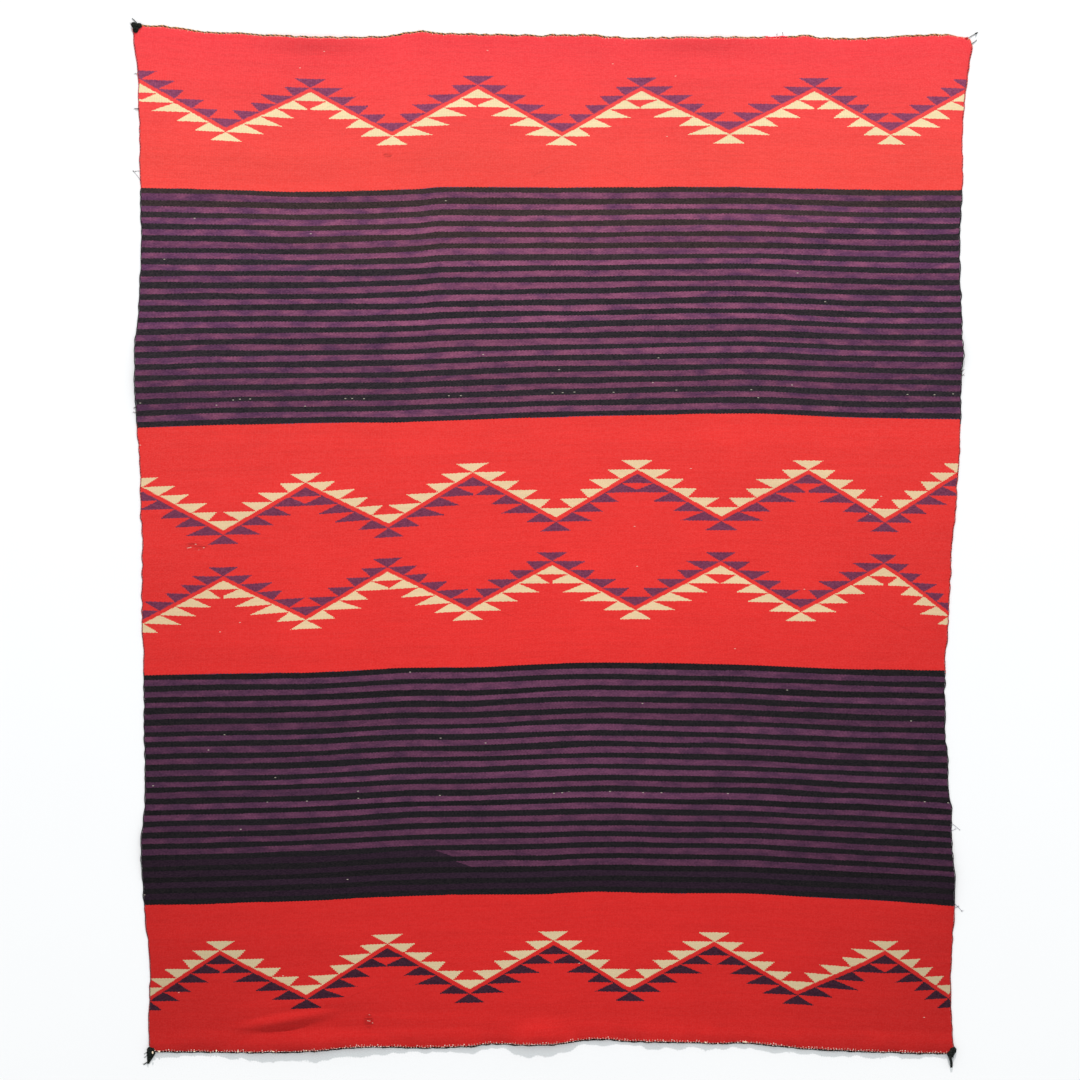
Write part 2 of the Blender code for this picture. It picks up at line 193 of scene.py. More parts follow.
loom = {
    "width": 1.360,
    "length": 1.681,
    "firstBand": (0.2544, 0.6380),  # where the stripes start and end, from the top end
    "secondBand": (1.0475, 1.4306),
    "stripes": 41,
}

# The four rows where plain red meets the stripes, in millimetres from the middle of the cut. They
# bow, as rows do in a cloth woven to shape.
bandRows = (
    (
        (-687.0, 583.0), (-482.4, 578.1), (-414.3, 576.4), (-312.8, 578.1), (-224.7, 581.4),
        (-186.4, 584.9), (-51.7, 583.9), (84.6, 583.9), (274.2, 584.9), (413.9, 582.4),
        (517.0, 579.7), (681.7, 578.9),
    ),
    (
        (-687.0, 183.6), (-537.3, 188.6), (-420.9, 190.9), (-254.6, 192.9), (-21.8, 200.7),
        (211.0, 205.5), (344.1, 207.0), (493.7, 200.7), (681.7, 198.1),
    ),
    (
        (-680.3, -227.2), (-587.2, -225.2), (-420.9, -223.7), (-254.6, -215.5), (-138.2, -214.4),
        (-21.8, -208.7), (78.0, -206.4), (211.0, -208.2), (310.8, -210.0), (410.6, -214.2),
        (493.7, -217.4), (655.1, -219.7),
    ),
    (
        (-680.3, -610.3), (-504.1, -605.8), (-371.0, -601.3), (-254.6, -595.4), (-138.2, -592.4),
        (-21.8, -591.9), (78.0, -588.0), (211.0, -590.4), (327.4, -591.2), (410.6, -596.0),
        (527.0, -602.3), (668.4, -611.3),
    ),
)


# The turning points of the four zigzags, from left to right, peaks and valleys by turns
Zigzag = namedtuple("Zigzag", "startsAtPeak depthMm turns")

zigzags = (
    Zigzag(True, 74.0, (
        (-685.3, 759.8), (-543.3, 679.5), (-402.6, 745.7), (-266.7, 672.5), (-124.1, 750.7),
        (15.8, 672.2), (147.8, 747.7), (294.2, 675.3), (435.5, 747.0), (562.8, 673.8),
        (688.3, 744.5),
    )),
    Zigzag(True, 77.0, (
        (-682.0, 81.3), (-547.0, 9.5), (-410.4, 88.8), (-272.7, 21.0), (-132.9, 105.8),
        (6.2, 31.1), (141.2, 111.1), (280.9, 32.8), (425.6, 110.4), (552.9, 30.1), (671.7, 105.4),
    )),
    Zigzag(False, 74.2, (
        (-680.3, -138.2), (-547.3, -66.5), (-409.9, -132.0), (-274.6, -51.7), (-141.0, -117.6),
        (-0.7, -41.4), (137.9, -115.7), (279.7, -41.4), (412.8, -119.1), (551.1, -44.9),
        (660.0, -125.7),
    )),
    Zigzag(False, 76.5, (
        (-670.4, -766.0), (-553.1, -689.0), (-409.3, -762.2), (-274.6, -677.8), (-137.7, -753.3),
        (2.0, -672.5), (128.2, -750.7), (269.2, -674.3), (407.3, -756.0), (552.6, -688.8),
        (658.4, -761.5),
    )),
)


# How far down the loom a point lies, in metres: smooth between the ends and the four band rows.
def loomDown(xMm, yMm, topMm, bottomMm):
    marks = [-smoothAt(rows, xMm) for rows in bandRows]
    counted = (0.0, *loom["firstBand"], *loom["secondBand"], loom["length"])
    return smoothAt(list(zip((-topMm, *marks, -bottomMm), counted)), -yMm)


# Where a point lies on a zigzag: the turns to its left, and its level, from 0 at the peaks to 5
# at the valleys. Rows bow from turn to turn, so valleys are lifted to the height of the peaks.
def zigzagPlace(zigzag, xMm, yMm):
    counted, tops = [], []
    for k, (turnX, turnY) in enumerate(zigzag.turns):
        isPeak = (k % 2 == 0) == zigzag.startsAtPeak
        counted.append((turnX, k if zigzag.startsAtPeak else k + 1))
        tops.append((turnX, turnY if isPeak else turnY + zigzag.depthMm))
    return smoothAt(counted, xMm), 5.0 * (smoothAt(tops, xMm) - yMm) / zigzag.depthMm, 0.0


# Gives a socket a number or a colour, or links it to a signal, a socket or a node's first output.
def feed(socket, value):
    if isinstance(value, Signal):
        value = value.socket
    elif isinstance(value, bpy.types.Node):
        value = value.outputs[0]
    if isinstance(value, bpy.types.NodeSocket):
        socket.id_data.links.new(value, socket)
    elif isinstance(value, (int, float)) and hasattr(socket.default_value, "__len__"):
        socket.default_value = [value] * len(socket.default_value)
    else:
        socket.default_value = value


# A number that runs through a node tree. Sums and products of signals make Math nodes.
class Signal:
    def __init__(self, socket):
        self.socket = socket
        self.tree = socket.id_data

    def calc(self, operation, *values):
        node = self.tree.nodes.new("ShaderNodeMath")
        node.operation = operation
        for socket, value in zip(node.inputs, values):
            feed(socket, value)
        return Signal(node.outputs[0])

    def __rsub__(self, other):
        return self.calc("SUBTRACT", other, self)

    def between(self, low, high):
        return self.over(low) * self.under(high)

    def fade(self, low, high, toLow=0.0, toHigh=1.0):
        node = self.tree.nodes.new("ShaderNodeMapRange")
        node.interpolation_type = "SMOOTHSTEP"
        for socket, value in zip(node.inputs, (self, low, high, toLow, toHigh)):
            feed(socket, value)
        return Signal(node.outputs["Result"])


def signalMethod(operation):
    return lambda self, *others: self.calc(operation, self, *others)


for name, operation in {
    "__add__": "ADD", "__radd__": "ADD", "__mul__": "MULTIPLY", "__rmul__": "MULTIPLY",
    "__sub__": "SUBTRACT", "__truediv__": "DIVIDE", "floor": "FLOOR", "fract": "FRACT",
    "size": "ABSOLUTE", "over": "GREATER_THAN", "under": "LESS_THAN", "most": "MAXIMUM",
    "zigzag": "PINGPONG", "sine": "SINE", "cosine": "COSINE",
}.items():
    setattr(Signal, name, signalMethod(operation))


def joined(tree, x, y, z=0.0):
    node = tree.nodes.new("ShaderNodeCombineXYZ")
    for socket, value in zip(node.inputs, (x, y, z)):
        feed(socket, value)
    return node.outputs[0]


def parted(vector):
    node = vector.id_data.nodes.new("ShaderNodeSeparateXYZ")
    feed(node.inputs[0], vector)
    return [Signal(output) for output in node.outputs]


def attribute(tree, name):
    node = tree.nodes.new("ShaderNodeAttribute")
    node.attribute_name = name
    return node.outputs["Vector"]


def cloudy(vector, scale=1.0, detail=2.0):
    node = vector.id_data.nodes.new("ShaderNodeTexNoise")
    node.noise_dimensions = "3D"
    feed(node.inputs["Vector"], vector)
    feed(node.inputs["Scale"], scale)
    feed(node.inputs["Detail"], detail)
    return Signal(node.outputs["Fac"])


def drawn(vector):
    node = vector.id_data.nodes.new("ShaderNodeTexWhiteNoise")
    node.noise_dimensions = "3D"
    feed(node.inputs["Vector"], vector)
    return Signal(node.outputs["Value"])


def blend(factor, a, b, kind="MIX"):
    node = factor.tree.nodes.new("ShaderNodeMix")
    node.data_type = "RGBA"
    node.blend_type = kind
    feed(node.inputs[0], factor)
    feed(node.inputs[6], a)
    feed(node.inputs[7], b)
    return node.outputs[2]


def shaded(colour, amount):
    node = colour.id_data.nodes.new("ShaderNodeVectorMath")
    node.operation = "SCALE"
    feed(node.inputs[0], colour)
    feed(node.inputs["Scale"], amount)
    return node.outputs[0]


def ramp(signal, stops):
    node = signal.tree.nodes.new("ShaderNodeValToRGB")
    feed(node.inputs[0], signal)
    elements = node.color_ramp.elements
    while len(elements) < len(stops):
        elements.new(1.0)
    for element, (at, colour) in zip(elements, stops):
        element.position = at
        element.color = colour
    return node.outputs["Color"]


def dye(red, green, blue):
    def linear(value):
        value /= 255.0
        return value / 12.92 if value <= 0.04045 else ((value + 0.055) / 1.055) ** 2.4

    return (linear(red), linear(green), linear(blue), 1.0)


def group(name, inputs, outputs):
    tree = bpy.data.node_groups.new(name, "ShaderNodeTree")
    for item in inputs:
        tree.interface.new_socket(item, in_out="INPUT", socket_type="NodeSocketFloat")
    for item in outputs:
        tree.interface.new_socket(item, in_out="OUTPUT", socket_type="NodeSocketFloat")
    source = tree.nodes.new("NodeGroupInput")
    sink = tree.nodes.new("NodeGroupOutput")
    return tree, [Signal(source.outputs[item]) for item in inputs], sink


def useGroup(tree, made, *values):
    node = tree.nodes.new("ShaderNodeGroup")
    node.node_tree = made
    for socket, value in zip(node.inputs, values):
        feed(socket, value)
    return [Signal(output) for output in node.outputs]


# Lays a tree's nodes out in columns, each to the right of what feeds it.
def arrange(tree):
    column = {}
    for _ in range(len(tree.nodes)):
        moved = False
        for link in tree.links:
            wanted = column.get(link.from_node.name, 0) + 1
            if wanted > column.get(link.to_node.name, 0):
                column[link.to_node.name] = wanted
                moved = True
        if not moved:
            break
    filled = {}
    for node in tree.nodes:
        x = column.get(node.name, 0)
        node.location = (220 * x, -190 * filled.get(x, 0))
        filled[x] = filled.get(x, 0) + 1


def newMaterial(name, roughness, sheen):
    material = bpy.data.materials.new(name)
    material.use_nodes = True
    tree = material.node_tree
    shader = tree.nodes["Principled BSDF"]
    shader.inputs["Roughness"].default_value = roughness
    shader.inputs["Specular IOR Level"].default_value = 0.05
    shader.inputs["Sheen Weight"].default_value = sheen
    shader.inputs["Sheen Roughness"].default_value = 0.5
    return material, tree, shader


def bumped(tree, shader, height, distance, strength=1.0):
    node = tree.nodes.new("ShaderNodeBump")
    node.inputs["Distance"].default_value = distance
    node.inputs["Strength"].default_value = strength
    feed(node.inputs["Height"], height)
    feed(shader.inputs["Normal"], node.outputs["Normal"])


weave = {
    "ribPitch": 0.0028,  # from warp to warp
    "beadLength": 0.0011,  # two picks of weft, packed down
    "reliefDepth": 0.0003,
    "ribShade": 0.045,  # painted shade: how much darker the grooves between ribs are made
    "sheen": 0.05,
    "ribWander": 0.9,  # how far ribs stray sideways, in ribs
    "rowWaver": 0.0035,  # how far rows stray down the cloth
    "speckle": (0.07, 0.30),  # from bead to bead, in plain red and in the pattern
    "haze": (0.045, 0.020),  # of fibre ends and painted sheen, bead by bead and finer
    "lint": 0.00007,  # share of beads with a pale fleck on them
    "lintRows": ((0.5965, 0.5980), (1.2620, 1.2635)),  # two rows in which more has caught
    "lineWidth": 0.48,  # of the red zigzag line, in steps
    "upperTooth": 1.80,  # how far the teeth above and below it reach sideways, in steps
    "lowerTooth": 2.10,
}

dyes = {
    "redTop": dye(247, 64, 71),
    "redUpper": dye(246, 73, 66),
    "redMiddle": dye(241, 56, 52),
    "redLower": dye(230, 43, 41),
    "redBottom": dye(204, 35, 33),
    "creamTop": dye(246, 224, 176),
    "cream": dye(238, 208, 164),
    "creamLow": dye(216, 194, 154),
    "purpleTop": dye(138, 62, 98),
    "purple": dye(117, 50, 80),
    "purpleLow": dye(56, 25, 42),
    "stripePurple": dye(137, 76, 106),
    "stripeViolet": dye(92, 52, 86),
    "secondPurple": dye(105, 59, 87),
    "secondViolet": dye(76, 44, 70),
    "darkPurple": dye(46, 29, 46),
    "brownBlack": dye(54, 43, 44),
    "blueBlack": dye(38, 35, 41),
    "secondBlack": dye(25, 24, 28),
    "fleck": dye(236, 226, 206),
    "haze": dye(236, 190, 186),
}

# Lines in the red where two weavers' turns meet, in metres on the loom
Join = namedtuple("Join", "across down toAcross toDown")

joins = (
    Join(0.650, 0.236, 0.682, 0.217),
    Join(0.766, 0.219, 0.826, 0.247),
    Join(0.120, 0.205, 0.330, 0.212),
    Join(0.800, 1.505, 0.932, 1.534),
    Join(1.226, 0.950, 1.300, 0.985),
    Join(0.560, 0.940, 0.640, 0.972),
    Join(0.300, 0.120, 0.372, 0.086),
    Join(0.330, 1.600, 0.420, 1.566),
)


# Spots worn thin, in metres on the loom
Worn = namedtuple("Worn", "across down reachAcross reachDown")

wornSpots = (
    Worn(0.0896, 0.8354, 0.022, 0.009),
    Worn(0.3720, 1.6390, 0.010, 0.014),
    Worn(0.4100, 0.1960, 0.009, 0.006),
)


# The teeth on one side of a zigzag. Reach runs from 0 at a peak to 5 at a valley and level counts
# steps down from the peaks, so the red line lies where they are equal. No two teeth are alike.
def makeToothedSide():
    tree, (reach, level, width, flank), sink = group(
        "toothedSide", ("reach", "level", "width", "flank"), ("teeth",)
    )
    edge = level + weave["lineWidth"] / 2
    depth = reach - edge
    uneven = drawn(joined(tree, edge.floor(), flank, 5.0)).fade(0.0, 1.0, 0.86, 1.14)
    onSteps = edge.between(0.0, 4.0) * depth.over(0.0)
    onSteps = onSteps * depth.under(width * uneven * (1.0 - edge.fract()))
    onPeak = edge.between(-1.0, 0.0) * reach.under(-0.94 * edge)
    inValley = edge.between(4.0, 5.3) * depth.over(0.0)
    feed(sink.inputs["teeth"], onSteps.most(onPeak).most(inValley))
    arrange(tree)
    return tree


def makeSteppedZigzag(toothedSide):
    tree, (turns, level, seed), sink = group(
        "steppedZigzag", ("turns", "level", "seed"), ("above", "below")
    )
    reach = turns.zigzag(1.0) * 5.0
    flank = turns.floor() + seed
    (above,) = useGroup(tree, toothedSide, reach, level, weave["upperTooth"], flank)
    (below,) = useGroup(
        tree, toothedSide, 5.0 - reach, 5.0 - level, weave["lowerTooth"], flank + 40.0
    )
    feed(sink.inputs["above"], above)
    feed(sink.inputs["below"], below)
    arrange(tree)
    return tree


# One band of stripes: whether a place lies in it, the stripe's number, how far down the stripe
# the place lies, whether the stripe is a purple one, and a tone drawn for it.
def makeStripeBand():
    tree, (across, down, first, last, seed), sink = group(
        "stripeBand", ("across", "down", "first", "last", "seed"),
        ("inside", "stripe", "share", "purple", "tone"),
    )
    counted = (down - first) / (last - first) * loom["stripes"]
    uneven = cloudy(joined(tree, counted * 0.45, seed, across * 2.5), 1.0, 2.0) - 0.5
    shifted = counted + uneven * 0.75
    stripe = shifted.floor()
    feed(sink.inputs["inside"], counted.over(0.0) * counted.under(loom["stripes"]))
    feed(sink.inputs["stripe"], stripe)
    feed(sink.inputs["share"], shifted.fract())
    feed(sink.inputs["purple"], (stripe * 0.5).fract() * 2.0)
    feed(sink.inputs["tone"], drawn(joined(tree, stripe, seed, 3.0)))
    arrange(tree)
    return tree


def makeTapestry():
    material, tree, shader = newMaterial("tapestryWool", 0.92, weave["sheen"])
    across, down, _ = parted(attribute(tree, "loom"))

    # noise that changes so many times a metre across the cloth and down it
    def clouds(acrossRate, downRate, seed=0.0, detail=2.0):
        return cloudy(joined(tree, across * acrossRate, down * downRate, seed), 1.0, detail)

    # which rib and which bead of weft a point lies on, and how far its middle is
    wander = clouds(9.0, 5.0, detail=1.0) - 0.5
    ribCount = across / weave["ribPitch"] + wander * weave["ribWander"]
    rib = ribCount.floor()
    ribShare = ribCount.fract()
    beadCount = down / weave["beadLength"] + (rib * 0.5).fract()
    bead = beadCount.floor()
    beadShare = beadCount.fract()
    toMiddleX = (0.5 - ribShare) * weave["ribPitch"]
    toMiddleY = (0.5 - beadShare) * weave["beadLength"]
    chance = drawn(joined(tree, rib, bead, 1.0))

    # rows waver a little, as hand-beaten weft does
    waver = (clouds(7.0, 60.0, detail=1.0) - 0.5) * weave["rowWaver"]
    row = down + toMiddleY + waver

    # red ground, darker down the cloth
    colour = ramp(down / loom["length"], (
        (0.00, dyes["redTop"]), (0.12, dyes["redUpper"]), (0.33, dyes["redMiddle"]),
        (0.72, dyes["redLower"]), (1.00, dyes["redBottom"]),
    ))

    # zigzags
    steppedZigzag = makeSteppedZigzag(makeToothedSide())
    fills = (
        ("purpleTop", "creamTop"), ("cream", "purple"),
        ("purple", "cream"), ("creamLow", "purpleLow"),
    )
    turnWidth = 0.137
    figured = 0.0
    for number, (zigzag, (upper, lower)) in enumerate(zip(zigzags, fills), start=1):
        turns, level, _ = parted(attribute(tree, f"zigzag{number}"))
        turns = turns + toMiddleX / turnWidth
        level = level + (toMiddleY + waver * 0.3) * 5.0 / (zigzag.depthMm * mm)
        above, below = useGroup(tree, steppedZigzag, turns, level, number * 100.0)
        colour = blend(above, colour, dyes[upper])
        colour = blend(below, colour, dyes[lower])
        figured = (below if upper.startswith("cream") else above) + figured

    # the two bands of stripes, their purple a heather of two dyes
    stripeBand = makeStripeBand()
    sides = (across / loom["width"] - 0.5).size()
    heather = cloudy(joined(tree, across * 26.0, row * 75.0, 12.0), 1.0, 3.0)
    violet = (heather + sides * 0.35).fade(0.35, 0.80)

    first, stripe, _, purple, tone = useGroup(
        tree, stripeBand, across, row, *loom["firstBand"], 1.0
    )
    turnsBlue = (stripe + sides.fade(0.20, 0.46) * 9.0).fade(9.0, 15.0)
    black = blend(turnsBlue, dyes["brownBlack"], dyes["blueBlack"])
    bright = blend(violet, dyes["stripePurple"], dyes["stripeViolet"])
    bright = shaded(bright, stripe.fade(18.0, 41.0, 1.05, 0.84))
    stripes = shaded(blend(purple, black, bright), tone.fade(0.0, 1.0, 0.90, 1.10))
    colour = blend(first, colour, stripes)

    second, stripe, share, purple, tone = useGroup(
        tree, stripeBand, across, row, *loom["secondBand"], 7.0
    )
    dull = blend(violet, dyes["secondPurple"], dyes["secondViolet"])
    # the last purples were woven with a darker yarn, two of them only part of the way
    startsAt = stripe * 0.016 + share * 0.028 - 0.036
    partWay = stripe.between(32.5, 35.5) * across.under(startsAt)
    late = stripe.between(36.5, 39.5).most(partWay)
    dull = blend(late, dull, dyes["darkPurple"])
    # a tone drawn for each stripe, and darker towards the band's last stripes
    bandTone = tone.fade(0.0, 1.0, 0.88, 1.10) * stripe.fade(20.0, 41.0, 1.0, 0.80)
    stripes = shaded(blend(purple, dyes["secondBlack"], dull), bandTone)
    colour = blend(second, colour, stripes)
    striped = first + second

    # yarn: uneven dye from pick to pick and along each pick, and clouds of fading
    pickTone = clouds(22.0, 420.0)
    plainSpeckle, speckle = weave["speckle"]
    speckled = (striped + figured) * speckle + plainSpeckle
    tone = 1.0
    for cloud, amount in (
        (pickTone, 0.20), (clouds(3.0, 160.0, 4.0), 0.10), (clouds(0.9, 26.0, 4.0), 0.15),
        (clouds(6.0, 7.0, 9.0, 3.0), 0.14), (chance, speckled),
        (clouds(420.0, 520.0, 2.0), speckled),
    ):
        tone = (cloud - 0.5) * amount + tone
    # painted shade: darker towards both sides of the cloth, more so lower down
    tone = tone * (1.0 - sides * sides * down.fade(0.2, 1.5) * 0.85)
    for join in joins:
        share = (down - join.down) / (join.toDown - join.down)
        away = (across - join.across - share * (join.toAcross - join.across)).size()
        tone = tone - share.between(0.0, 1.0) * away.fade(0.0012, 0.0034, 0.07, 0.0)

    # spots worn thin: dark threads, and pale lint caught on them
    worn = 0.0
    for spot in wornSpots:
        awayX = (across - spot.across) / spot.reachAcross
        awayY = (down - spot.down) / spot.reachDown
        worn = (awayX * awayX + awayY * awayY).fade(0.3, 1.0, 1.0, 0.0).most(worn)
    tone = tone - worn * pickTone.fade(0.44, 0.60, 0.0, 0.34)

    # painted shade in the grooves between the ribs
    ribHeight = 1.0 - (ribShare * 2.0 - 1.0) * (ribShare * 2.0 - 1.0)
    beadHeight = 1.0 - (beadShare * 2.0 - 1.0) * (beadShare * 2.0 - 1.0)
    tone = tone * (1.0 - weave["ribShade"] * (1.0 - ribHeight))
    colour = shaded(colour, tone)

    # a pale haze of fibre ends with painted sheen, bead by bead and finer between the beads, less
    # of it lower down; dark wool shows less of it
    hazeTone = clouds(520.0, 700.0, 6.0, 1.0).fade(0.45, 0.8)
    beadHaze, fineHaze = weave["haze"]
    haze = (chance * beadHaze + hazeTone * fineHaze) * down.fade(0.3, 1.5, 1.0, 0.35)
    haze = haze * (1.0 - striped * 0.5)
    colour = blend(haze, colour, dyes["haze"])

    # pale flecks of lint, scattered and caught in two rows
    upperRow, lowerRow = weave["lintRows"]
    caught = row.between(*upperRow).most(row.between(*lowerRow))
    fleck = chance.over(1.0 - weave["lint"]).most(caught * chance.over(0.975))
    fleck = fleck.most(worn.over(0.5) * chance.over(0.97))
    colour = blend(fleck * 0.5, colour, dyes["fleck"])

    feed(shader.inputs["Base Color"], colour)
    bumped(tree, shader, ribHeight * (0.55 + 0.45 * beadHeight), weave["reliefDepth"])
    arrange(tree)
    return material


sheet = {
    "columns": 196,
    "rows": 236,
    "hemRows": 30,  # of them, set closer together over the last share of the cloth
    "hemShare": 0.065,
    "selvage": (0.0012, 0.0032),  # first columns and rows from each edge, for a rounded rim
    "rippleMm": 0.5,
    "rimDropMm": 0.5,
}

Knot = namedtuple("Knot", "name across down insetXMm insetYMm radiusMm heightMm")

knots = (
    Knot("corner_tassel_top_left", 0.0, 0.0, 4.5, -1.5, 8.4, 6.4),
    Knot("corner_tassel_top_right", 1.0, 0.0, -8.6, 13.4, 2.6, 3.8),
    Knot("corner_tassel_bottom_left", 0.0, 1.0, 2.7, -0.3, 7.8, 7.0),
    Knot("corner_tassel_bottom_right", 1.0, 1.0, -3.8, 1.0, 8.0, 7.0),
)

# How far each knot is pulled out of round, towards how many corners, the first at what turn
Pull = namedtuple("Pull", "corners turnDeg swell")

pulls = {
    "corner_tassel_top_left": Pull(3, 20.7, 0.34),
    "corner_tassel_top_right": Pull(2, 10.0, 0.45),
    "corner_tassel_bottom_left": Pull(4, 45.0, 0.06),
    "corner_tassel_bottom_right": Pull(2, 58.0, 0.32),
}


def knotMiddle(knot):
    return place(knot.across, knot.down) + Vector((knot.insetXMm, knot.insetYMm)) * mm


# Even shares from 0 to 1, with two narrow steps at each end.
def gradedShares(count, length):
    rim = [0.0, *(step / length for step in sheet["selvage"])]
    inner = count - 2 * (len(rim) - 1)
    start = rim[-1]
    middle = [start + (1.0 - 2.0 * start) * k / inner for k in range(inner + 1)]
    return [*rim[:-1], *middle, *(1.0 - share for share in reversed(rim[:-1]))]


# Moves an even share down the cloth so that the rows lie closer together near the bottom hem.
def towardsHem(share):
    even = 1.0 - sheet["hemRows"] / sheet["rows"]
    plain = 1.0 - sheet["hemShare"]
    if share < even:
        return share / even * plain
    return plain + (share - even) / (1.0 - even) * sheet["hemShare"]


def makeCloth(material):
    shareX = gradedShares(sheet["columns"], loom["width"])
    shareY = [towardsHem(share) for share in gradedShares(sheet["rows"], loom["length"])]
    wide, tall = len(shareX), len(shareY)
    ends = [
        [(place(across, down).y + cut["movedY"]) / mm for down in (0.0, 1.0)] for across in shareX
    ]

    tops, looms, turnings = [], [], [[] for _ in zigzags]
    for j, down in enumerate(shareY):
        for i, across in enumerate(shareX):
            spot = place(across, down)
            onRim = min(i, wide - 1 - i, j, tall - 1 - j)
            drop = sheet["rimDropMm"] * (1.0, 0.35)[onRim] if onRim < 2 else 0.0
            ripple = 0.5 + 0.5 * noise.noise(Vector((spot.x * 14.0, spot.y * 11.0, 2.0)))
            ripple += 0.35 * noise.noise(Vector((spot.x * 5.0, spot.y * 46.0, 7.0)))
            rise = max(ripple, 0.0) * sheet["rippleMm"] - drop
            tops.append((spot.x, spot.y, lift(spot) + cut["thickness"] + rise * mm))
            xMm, yMm = (spot.x + cut["movedX"]) / mm, (spot.y + cut["movedY"]) / mm
            looms.append((across * loom["width"], loomDown(xMm, yMm, *ends[i]), 0.0))
            for turning, zigzag in zip(turnings, zigzags):
                turning.append(zigzagPlace(zigzag, xMm, yMm))

    count = wide * tall
    spots = tops + [(x, y, lift(Vector((x, y)))) for x, y, _ in tops]
    faces = [
        (a, a + wide, a + wide + 1, a + 1)
        for a in (j * wide + i for j in range(tall - 1) for i in range(wide - 1))
    ]
    edges = {(a, b) for face in faces for a, b in zip(face, (*face[1:], face[0]))}
    walls = [(b, a, a + count, b + count) for a, b in edges if (b, a) not in edges]
    bottoms = [tuple(count + k for k in reversed(face)) for face in faces]
    mesh = bpy.data.meshes.new("serapeCloth")
    mesh.from_pydata(spots, [], [*faces, *bottoms, *sorted(walls)])
    layers = {"loom": looms, **{f"zigzag{k + 1}": values for k, values in enumerate(turnings)}}
    for name, values in layers.items():
        layer = mesh.attributes.new(name, "FLOAT_VECTOR", "POINT")
        layer.data.foreach_set("vector", [part for value in values * 2 for part in value])
    mesh.materials.append(material)
    mesh.shade_smooth()
    return addPiece("serapeCloth", mesh)


def addPiece(name, data):
    piece = bpy.data.objects.new(name, data)
    bpy.context.scene.collection.objects.link(piece)
    return piece


# How each kind of yarn is twisted. Fatness and spread are shares of the cord's radius.
yarnInputs = ("Plies", "Twist", "Step", "Sides", "Fatness", "Spread")
yarnKinds = {
    "endCord": (2, 0.0082, 0.0008, 6, 0.58, 0.42),
    "sideCord": (2, 0.0050, 0.0008, 6, 0.60, 0.40),
    "knotYarn": (2, 0.0050, 0.0005, 7, 0.60, 0.40),
    "looseYarn": (2, 0.0040, 0.0005, 5, 0.60, 0.40),
    "fibre": (1, 0.0100, 0.0008, 4, 1.00, 0.00),
}


def newModifierTree(name, inputs):
    tree = bpy.data.node_groups.new(name, "GeometryNodeTree")
    tree.interface.new_socket("Geometry", in_out="INPUT", socket_type="NodeSocketGeometry")
    for item, kind in inputs.items():
        tree.interface.new_socket(item, in_out="INPUT", socket_type="NodeSocket" + kind)
    tree.interface.new_socket("Geometry", in_out="OUTPUT", socket_type="NodeSocketGeometry")
    source = tree.nodes.new("NodeGroupInput")
    sink = tree.nodes.new("NodeGroupOutput")
    return tree, source.outputs, sink.inputs[0]


def geometryNode(tree, kind, feeds=(), **settings):
    node = tree.nodes.new(kind if kind.startswith("Function") else "GeometryNode" + kind)
    for name, value in settings.items():
        setattr(node, name, value)
    for name, value in dict(feeds).items():
        feed(node.inputs[name], value)
    return node


def vectorCalc(tree, operation, a, b=None):
    node = tree.nodes.new("ShaderNodeVectorMath")
    node.operation = operation
    feed(node.inputs[0], a)
    if b is not None:
        feed(node.inputs["Scale" if operation == "SCALE" else 1], b)
    return node.outputs[0]


def kept(tree, geometry, name, value, domain="POINT"):
    return geometryNode(
        tree, "StoreNamedAttribute", {"Geometry": geometry, "Name": name, "Value": value},
        data_type="FLOAT", domain=domain,
    )


# The lines that a tree is given, as curves with points at even steps.
def evenLines(tree, source, step):
    line = geometryNode(tree, "MeshToCurve", {"Mesh": source["Geometry"]})
    return geometryNode(tree, "ResampleCurve", {"Curve": line, "Length": step}, mode="LENGTH")


def finishTree(tree, geometry, source, sink):
    whole = geometryNode(tree, "RealizeInstances", {"Geometry": geometry})
    smooth = geometryNode(tree, "SetShadeSmooth", {"Geometry": whole})
    dressed = geometryNode(
        tree, "SetMaterial", {"Geometry": smooth, "Material": source["Material"]}
    )
    feed(sink, dressed)
    arrange(tree)


# Turns lines into twisted yarn: each line is laid out once for every ply, and the plies wind
# round it.
def makeYarnTree():
    tree, source, sink = newModifierTree("twistedYarn", {
        "Plies": "Int", "Twist": "Float", "Step": "Float", "Sides": "Int",
        "Fatness": "Float", "Spread": "Float", "Material": "Material",
    })
    plies = geometryNode(tree, "DuplicateElements", {
        "Geometry": evenLines(tree, source, source["Step"]), "Amount": source["Plies"],
    }, domain="SPLINE")
    ply = Signal(plies.outputs["Duplicate Index"])
    along = Signal(geometryNode(tree, "SplineParameter").outputs["Length"])
    thickness = Signal(geometryNode(
        tree, "InputNamedAttribute", {"Name": "thickness"}, data_type="FLOAT"
    ).outputs["Attribute"])
    turn = (along / source["Twist"] + ply / source["Plies"]) * math.tau
    tangent = geometryNode(tree, "InputTangent")
    normal = geometryNode(tree, "InputNormal")
    side = vectorCalc(tree, "CROSS_PRODUCT", tangent, normal)
    wound = vectorCalc(
        tree, "ADD",
        vectorCalc(tree, "SCALE", normal, turn.cosine()),
        vectorCalc(tree, "SCALE", side, turn.sine()),
    )
    offset = vectorCalc(tree, "SCALE", wound, thickness * source["Spread"])
    named = kept(tree, kept(tree, plies, "ply", ply), "along", along)
    placed = geometryNode(tree, "SetPosition", {"Geometry": named, "Offset": offset})
    ring = geometryNode(
        tree, "CurvePrimitiveCircle", {"Resolution": source["Sides"], "Radius": 1.0}
    )
    tube = geometryNode(tree, "CurveToMesh", {
        "Curve": placed, "Profile Curve": ring, "Scale": thickness * source["Fatness"],
        "Fill Caps": True,
    })
    finishTree(tree, tube, source, sink)
    return tree


